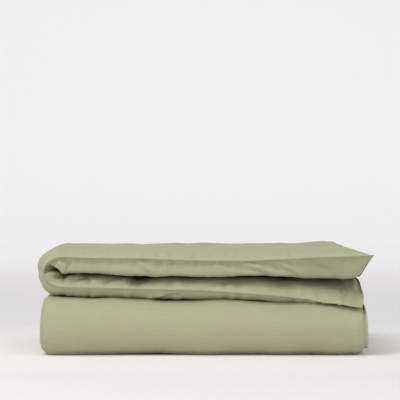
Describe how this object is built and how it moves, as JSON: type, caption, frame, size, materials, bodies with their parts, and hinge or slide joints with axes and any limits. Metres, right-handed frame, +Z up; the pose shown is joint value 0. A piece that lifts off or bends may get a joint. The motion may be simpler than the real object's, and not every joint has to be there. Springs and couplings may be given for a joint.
{
  "type": "folded duvet",
  "caption": "Single duvet in a buttoned cotton cover, halved across its width and folded in three into a soft rounded stack.",
  "frame": {"origin": "middle of the stack's footprint, on the surface it lies on", "axes": "+X to the right of the front, towards the side seams, +Y to the back, towards the button hem, +Z up"},
  "size_m": [0.7726, 0.7384, 0.25],
  "materials": {
    "cover_cotton": "matt sage-green plain-weave cotton",
    "quilt_ticking": "matt white downproof cotton",
    "wadding": "white lofted fibre",
    "button_resin": "dyed resin, satin",
    "label_tape": "blank woven tape"
  },
  "bodies": {
    "bottom_third": {"cover_face_bottom_third": "cover_cotton", "cover_face_front_fold": "cover_cotton", "cover_lining_bottom_third": "cover_cotton", "cover_lining_front_fold": "cover_cotton", "quilt_face_casing_bottom_third": "quilt_ticking", "quilt_face_casing_front_fold": "quilt_ticking", "quilt_back_casing_bottom_third": "quilt_ticking", "quilt_back_casing_front_fold": "quilt_ticking", "filling_row_5_pocket_1": "wadding", "filling_row_5_pocket_2": "wadding", "filling_row_5_pocket_3": "wadding", "filling_row_5_pocket_4": "wadding", "filling_row_6_pocket_1": "wadding", "filling_row_6_pocket_2": "wadding", "filling_row_6_pocket_3": "wadding", "filling_row_6_pocket_4": "wadding", "filling_row_7_pocket_1": "wadding", "filling_row_7_pocket_2": "wadding", "filling_row_7_pocket_3": "wadding", "filling_row_7_pocket_4": "wadding", "foot_button_1": "button_resin", "foot_button_2": "button_resin", "foot_button_3": "button_resin", "foot_button_4": "button_resin", "foot_button_5": "button_resin", "foot_button_6": "button_resin", "care_label": "label_tape"},
    "middle_third": {"cover_face_middle_third": "cover_cotton", "cover_face_rear_fold": "cover_cotton", "cover_lining_middle_third": "cover_cotton", "cover_lining_rear_fold": "cover_cotton", "quilt_face_casing_middle_third": "quilt_ticking", "quilt_face_casing_rear_fold": "quilt_ticking", "quilt_back_casing_middle_third": "quilt_ticking", "quilt_back_casing_rear_fold": "quilt_ticking", "filling_row_3_pocket_1": "wadding", "filling_row_3_pocket_2": "wadding", "filling_row_3_pocket_3": "wadding", "filling_row_3_pocket_4": "wadding", "filling_row_4_pocket_1": "wadding", "filling_row_4_pocket_2": "wadding", "filling_row_4_pocket_3": "wadding", "filling_row_4_pocket_4": "wadding"},
    "top_third": {"cover_face_top_third": "cover_cotton", "cover_lining_top_third": "cover_cotton", "quilt_face_casing_top_third": "quilt_ticking", "quilt_back_casing_top_third": "quilt_ticking", "filling_row_1_pocket_1": "wadding", "filling_row_1_pocket_2": "wadding", "filling_row_1_pocket_3": "wadding", "filling_row_1_pocket_4": "wadding", "filling_row_2_pocket_1": "wadding", "filling_row_2_pocket_2": "wadding", "filling_row_2_pocket_3": "wadding", "filling_row_2_pocket_4": "wadding"}
  },
  "joints": [
    {"name": "front_fold_hinge", "type": "hinge", "parent": "bottom_third", "child": "middle_third", "pos_m": [0, -0.30674, 0.0625], "axis": [1, 0, 0], "range_deg": [0, 90], "deforming": ["cover_face_front_fold", "cover_lining_front_fold", "quilt_face_casing_front_fold", "quilt_back_casing_front_fold", "filling_row_5_pocket_1", "filling_row_5_pocket_2", "filling_row_5_pocket_3", "filling_row_5_pocket_4"]},
    {"name": "rear_fold_hinge", "type": "hinge", "parent": "middle_third", "child": "top_third", "pos_m": [0, 0.22924, 0.1255], "axis": [-1, 0, 0], "range_deg": [0, 90], "deforming": ["cover_face_rear_fold", "cover_lining_rear_fold", "quilt_face_casing_rear_fold", "quilt_back_casing_rear_fold", "filling_row_3_pocket_1", "filling_row_3_pocket_2", "filling_row_3_pocket_3", "filling_row_3_pocket_4"]}
  ]
}
